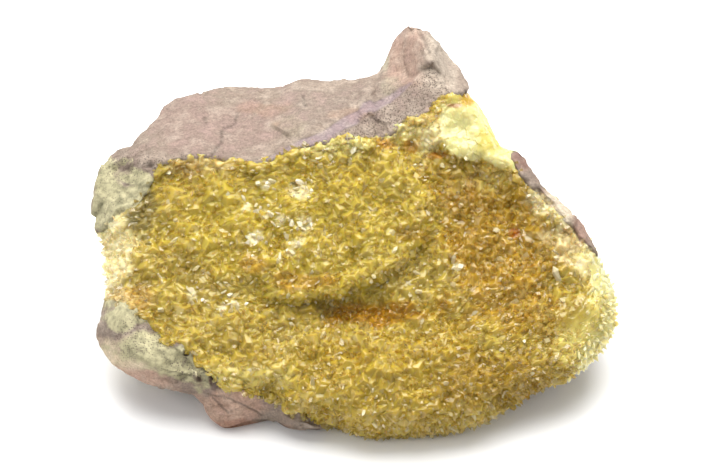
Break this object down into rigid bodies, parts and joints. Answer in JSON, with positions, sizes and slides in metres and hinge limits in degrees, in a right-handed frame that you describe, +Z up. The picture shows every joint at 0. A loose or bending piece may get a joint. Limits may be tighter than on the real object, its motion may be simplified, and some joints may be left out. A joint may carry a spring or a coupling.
{
  "type": "calcite crystal cluster",
  "caption": "Hand specimen of honey-yellow drusy calcite lining the hollow face of a pink, altered volcanic rock, lying on a flat joint face.",
  "frame": {"origin": "bottom centre of the bounding box, on the plane of the joint face that the specimen rests on", "axes": "+X along the specimen's length, +Y away from the crystal side, +Z up from the joint face"},
  "size_m": [0.1644, 0.1292, 0.0636],
  "materials": {
    "rhyolite": "dull broken rock, pale pink with cream, dark specks and a green-grey weathered coat",
    "calcite": "translucent honey-yellow crystals with glassy faces, paler where massive or broken"
  },
  "bodies": {
    "root": {"host_rock": "rhyolite", "calcite_crust": "calcite"}
  },
  "joints": []
}
